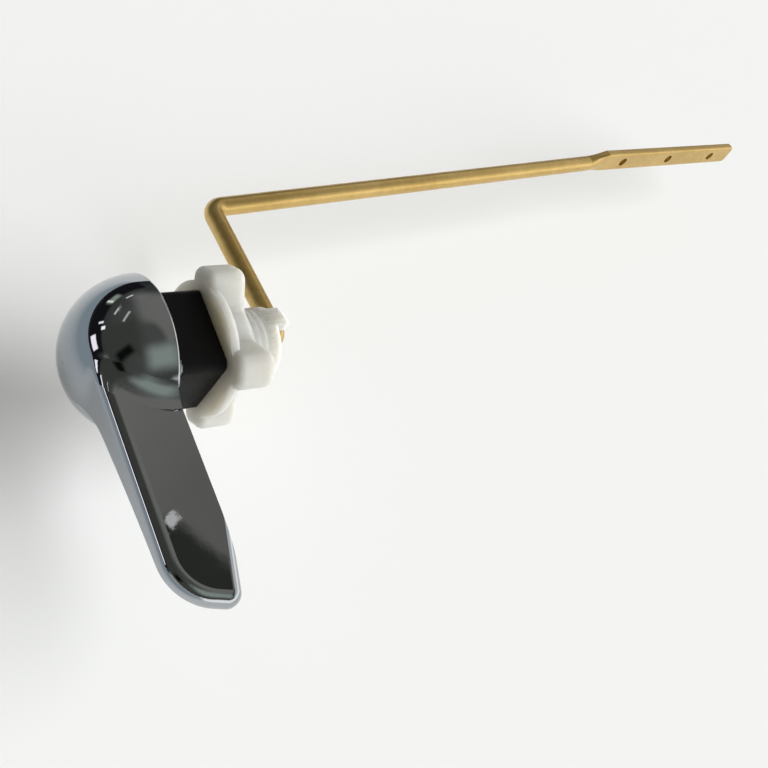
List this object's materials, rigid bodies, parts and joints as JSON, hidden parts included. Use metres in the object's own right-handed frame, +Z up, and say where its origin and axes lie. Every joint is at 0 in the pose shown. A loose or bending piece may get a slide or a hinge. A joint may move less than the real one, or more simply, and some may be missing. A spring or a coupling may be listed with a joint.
{
  "type": "cistern lever",
  "caption": "Cistern hand lever: chrome domed handle with a flat paddle, rubber gasket and bush through the wall, lobed lock nut, and a cranked brass lift arm with a drilled flat end.",
  "frame": {"origin": "on the pivot axis, in the plane where the gasket meets the tank's wall", "axes": "+X along the pivot axis, through the wall into the tank; +Z up; the crank points towards +Y and the paddle towards -Y"},
  "size_m": [0.283, 0.123, 0.0346],
  "materials": {
    "chrome_plate": "polished chrome plate on a zinc casting",
    "bush_plastic": "milky moulded plastic",
    "gasket_rubber": "smooth black rubber",
    "nut_plastic": "milky moulded plastic",
    "rod_brass": "drawn brass, lightly dulled"
  },
  "bodies": {
    "wall_side": {"bush": "bush_plastic", "gasket": "gasket_rubber"},
    "lever": {"handle": "chrome_plate", "lift_arm": "rod_brass"},
    "nut": {"lock_nut": "nut_plastic"}
  },
  "joints": [
    {"name": "lever_swing", "type": "hinge", "parent": "wall_side", "child": "lever", "pos_m": [0, 0, 0], "axis": [1, 0, 0], "range_deg": [0, 40]},
    {"name": "nut_release", "type": "slide", "parent": "wall_side", "child": "nut", "axis": [1, 0, 0], "range_m": [0, 0.008]}
  ]
}
